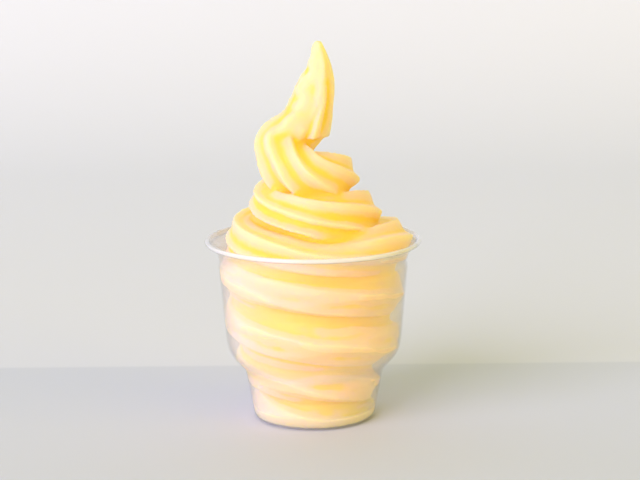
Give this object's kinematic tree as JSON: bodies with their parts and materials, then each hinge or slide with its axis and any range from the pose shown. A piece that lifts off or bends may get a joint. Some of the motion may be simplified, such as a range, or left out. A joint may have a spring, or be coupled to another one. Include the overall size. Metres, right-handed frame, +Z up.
{
  "type": "soft serve in a cup",
  "caption": "Ridged yellow soft serve piped in a rising swirl with a leaning peak, filling a clear stepped dessert cup with a rolled rim.",
  "frame": {"origin": "centre of the cup's foot, on the surface that it stands on", "axes": "+Z up along the cup's axis, -Y towards the viewer of the picture, +X to the viewer's right"},
  "size_m": [0.0978, 0.0978, 0.1714],
  "materials": {
    "clear_plastic": "clear, glossy",
    "soft_serve": "soft, moist satin"
  },
  "bodies": {
    "root": {"cup": "clear_plastic", "soft_serve": "soft_serve"}
  },
  "joints": []
}
